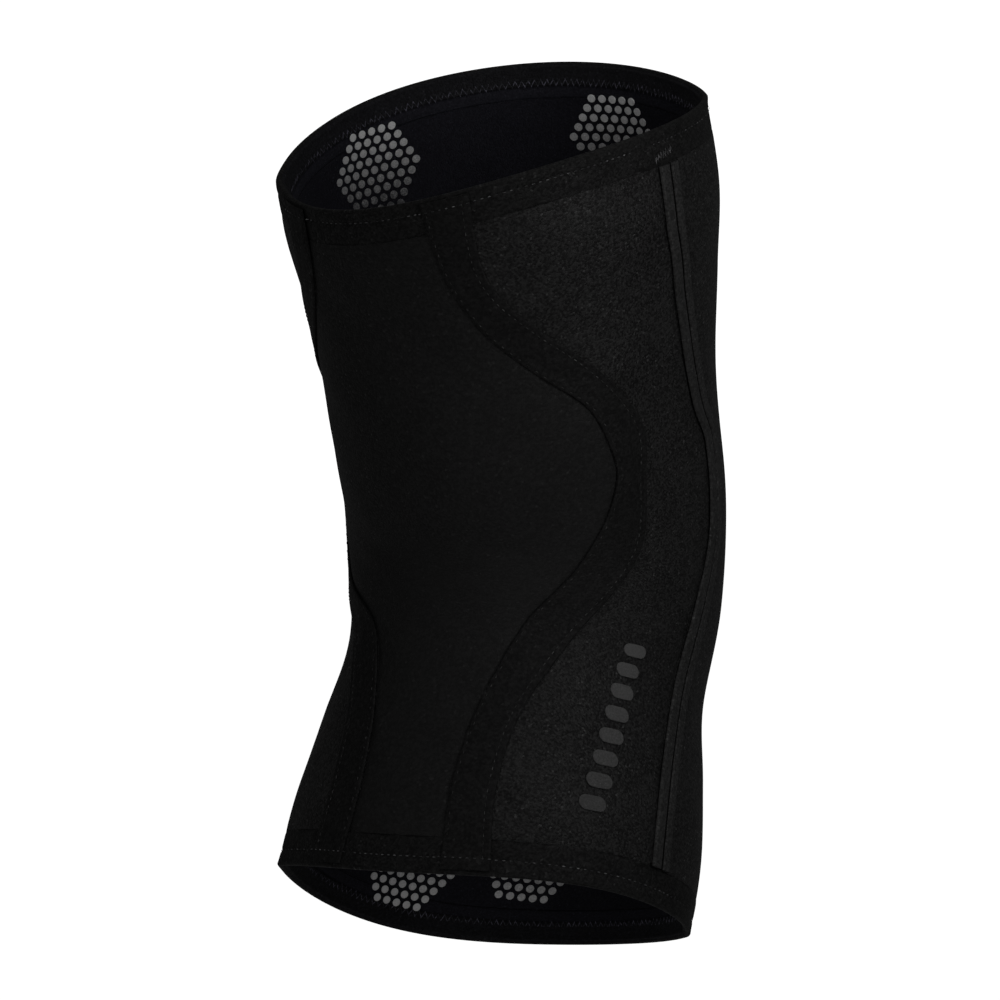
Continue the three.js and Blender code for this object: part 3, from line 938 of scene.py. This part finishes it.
# Plain printed marks: rounded bars outside, round clusters of grip dots inside
barPrint = {
    "count": 8,
    "length": 0.0098,
    "width": 0.0052,
    "turn": 0.07,
    "from": (0.0262, 49.8),  # height and angle of the row's two ends
    "to": (0.0935, 64.5),
    "rise": 0.00047,  # its face stands this far above the panel
    "thick": 0.00048,
}
gripPrint = {
    "dot": 0.0029,
    "pitch": 0.0042,
    "radius": 0.0175,
    "thick": 0.00025,
    "top": ((0.2625, 246.5), (0.264, 170.5)),  # height and angle of each cluster's middle
    "bottom": ((0.031, 193.5), (0.0205, 231.0)),
}


def addDisc(name, columns, length, width):  # a flat round-ended bar in its own plane, longer along X
    piece, u, v = newGrid(name, columns, columns)
    a = 2 * u - 1
    b = 2 * v - 1
    x = a * np.sqrt(1 - b * b / 2) * width / 2 + np.clip(a * 3, -1, 1) * (length - width) / 2
    y = b * np.sqrt(1 - a * a / 2) * width / 2
    piece.data.vertices.foreach_set("co", np.stack([x, y, 0 * x], axis=1).ravel())
    return piece


def printMarks(name, shape, spots, depth, thick, material, turn=0, inside=False):
    flat = np.empty(len(shape.data.vertices) * 3)
    shape.data.vertices.foreach_get("co", flat)
    x, y, _ = flat.reshape(-1, 3).T
    across = x * math.cos(turn) - y * math.sin(turn)
    up = x * math.sin(turn) + y * math.cos(turn)
    marks = []
    for height, angle in spots:
        mark = shape.copy()
        mark.data = shape.data.copy()
        scene.collection.objects.link(mark)
        heights = height + up
        angles = angle + np.degrees(across / sleeve["halfWidth"])
        layOnForm(mark, heights, angles, depth)
        marks.append(mark)
    bpy.data.objects.remove(shape)
    deselectAll()
    for mark in marks:
        mark.select_set(True)
    bpy.context.view_layer.objects.active = marks[0]
    bpy.ops.object.join()
    piece = bpy.context.object
    piece.name = name
    piece.data.name = name
    faceOutward(piece)
    if inside:
        piece.data.flip_normals()
    thicken(piece, thick)
    finishPiece(piece, None, material)


def addBarPrint():
    (lowHeight, lowAngle), (highHeight, highAngle) = barPrint["from"], barPrint["to"]
    shares = (np.arange(barPrint["count"]) + 0.5) / barPrint["count"]
    spots = [(lowHeight + (highHeight - lowHeight) * t, lowAngle + (highAngle - lowAngle) * t)
             for t in shares]
    # painted sheen and shade: the bars get lighter toward the row's upper end
    material = makePrint("side_print", {
        "dark": (0.013, 0.013, 0.013), "light": (0.029, 0.029, 0.029), "loop": 0.0005,
        "low": 0.02, "high": 0.1, "grain": 0.5, "rough": 0.75, "gloss": 0.15})
    shape = addDisc("bar", 12, barPrint["length"], barPrint["width"])
    printMarks("side-print", shape, spots, -barPrint["rise"], barPrint["thick"],
               material, turn=barPrint["turn"])


def addGripPrint(word):
    dots = []
    reach = int(gripPrint["radius"] / gripPrint["pitch"]) + 2
    for row in range(-reach, reach + 1):
        for column in range(-reach, reach + 1):
            x = (column + 0.5 * (row % 2)) * gripPrint["pitch"]
            y = row * gripPrint["pitch"] * math.sqrt(0.75)
            if math.hypot(x, y) < gripPrint["radius"]:
                dots.append((x, y))
    middles = gripPrint[word]
    spots = [(height + y, angle + math.degrees(x / sleeve["halfWidth"]))
             for height, angle in middles for x, y in dots]
    middle = sum(height for height, _ in middles) / len(middles)
    fade = gripPrint["radius"] * (1 if word == "top" else -1)  # painted sheen and shade: the silver print is brightest toward the rim, where light comes in, and darker deeper inside
    material = makePrint(f"{word}_grip_print", {
        "dark": (0.02, 0.02, 0.022), "light": (0.3, 0.3, 0.3), "loop": 0.0004,
        "low": middle - 0.9 * fade, "high": middle + fade,
        "grain": 0.25, "rough": 0.5, "gloss": 0.3})
    full = cloth["panel"] + cloth["layerGap"] + cloth["lining"]
    shape = addDisc("dot", 5, gripPrint["dot"], gripPrint["dot"])
    printMarks(f"{word}-grip-print", shape, spots, full + gripPrint["thick"], gripPrint["thick"],
               material, inside=True)


addBarPrint()
addGripPrint("top")
addGripPrint("bottom")
print("prints laid")

# Pale floor, white surroundings and soft lights
studio = {
    "floorDrop": 0.32,  # under the sleeve's lowest point
    "floorSize": 30,
    "floorGlow": 0.95,
    "fill": 0.1,
}
softboxes = [
    {"azimuth": 242, "elevation": 2, "away": 0.5, "lift": 0.17, "size": 0.3, "power": 1.9},
    {"azimuth": 172, "elevation": 2, "away": 2.0, "lift": 0, "size": 2.0, "power": 14},
    {"azimuth": 208, "elevation": 66, "away": 0.9, "lift": 0, "size": 0.4, "power": 2.6},
    {"azimuth": 208, "elevation": -60, "away": 0.5, "lift": 0, "size": 0.3, "power": 0.5},
]


def addFloor():
    low = cadBox[0][2] - studio["floorDrop"]
    deselectAll()
    bpy.ops.mesh.primitive_plane_add(size=studio["floorSize"], location=(0, 0, low))
    floor = bpy.context.object
    floor.name = "floor"
    material = bpy.data.materials.new("pale_floor")
    material.use_nodes = True
    tree = material.node_tree
    shader = tree.nodes["Principled BSDF"]
    shader.inputs["Base Color"].default_value = (0.9, 0.9, 0.9, 1)
    shader.inputs["Roughness"].default_value = 1
    shader.inputs["Specular IOR Level"].default_value = 0
    glow = tree.nodes.new("ShaderNodeEmission")
    path = tree.nodes.new("ShaderNodeLightPath")
    seen = tree.nodes.new("ShaderNodeMath")
    seen.operation = "MULTIPLY"
    seen.inputs[1].default_value = studio["floorGlow"]
    tree.links.new(path.outputs["Is Camera Ray"], seen.inputs[0])
    tree.links.new(seen.outputs[0], glow.inputs["Strength"])
    both = tree.nodes.new("ShaderNodeAddShader")
    tree.links.new(shader.outputs[0], both.inputs[0])
    tree.links.new(glow.outputs[0], both.inputs[1])
    tree.links.new(both.outputs[0], tree.nodes["Material Output"].inputs["Surface"])
    floor.data.materials.append(material)


def addSurroundings():  # white behind the object, a dimmer even fill on it
    world = bpy.data.worlds.new("studio")
    scene.world = world
    world.use_nodes = True
    tree = world.node_tree
    fill = tree.nodes["Background"]
    fill.inputs["Color"].default_value = (1, 1, 1, 1)
    fill.inputs["Strength"].default_value = studio["fill"]
    white = tree.nodes.new("ShaderNodeBackground")
    white.inputs["Color"].default_value = (1, 1, 1, 1)
    white.inputs["Strength"].default_value = 1.1
    path = tree.nodes.new("ShaderNodeLightPath")
    mix = tree.nodes.new("ShaderNodeMixShader")
    tree.links.new(path.outputs["Is Camera Ray"], mix.inputs["Fac"])
    tree.links.new(fill.outputs[0], mix.inputs[1])
    tree.links.new(white.outputs[0], mix.inputs[2])
    tree.links.new(mix.outputs[0], tree.nodes["World Output"].inputs["Surface"])


def addSoftbox(box):
    right, up, backward = viewAxes(box["azimuth"], box["elevation"])
    turn = Matrix((right, up, backward)).transposed().to_4x4()
    bpy.ops.object.light_add(type="AREA")
    light = bpy.context.object
    light.data.shape = "SQUARE"
    light.data.size = box["size"]
    light.data.energy = box["power"]
    light.matrix_world = Matrix.Translation(backward * box["away"] + Vector((0, 0, box["lift"]))) @ turn


addFloor()
addSurroundings()
for box in softboxes:
    addSoftbox(box)
scene.view_settings.view_transform = "Standard"
print("studio set")
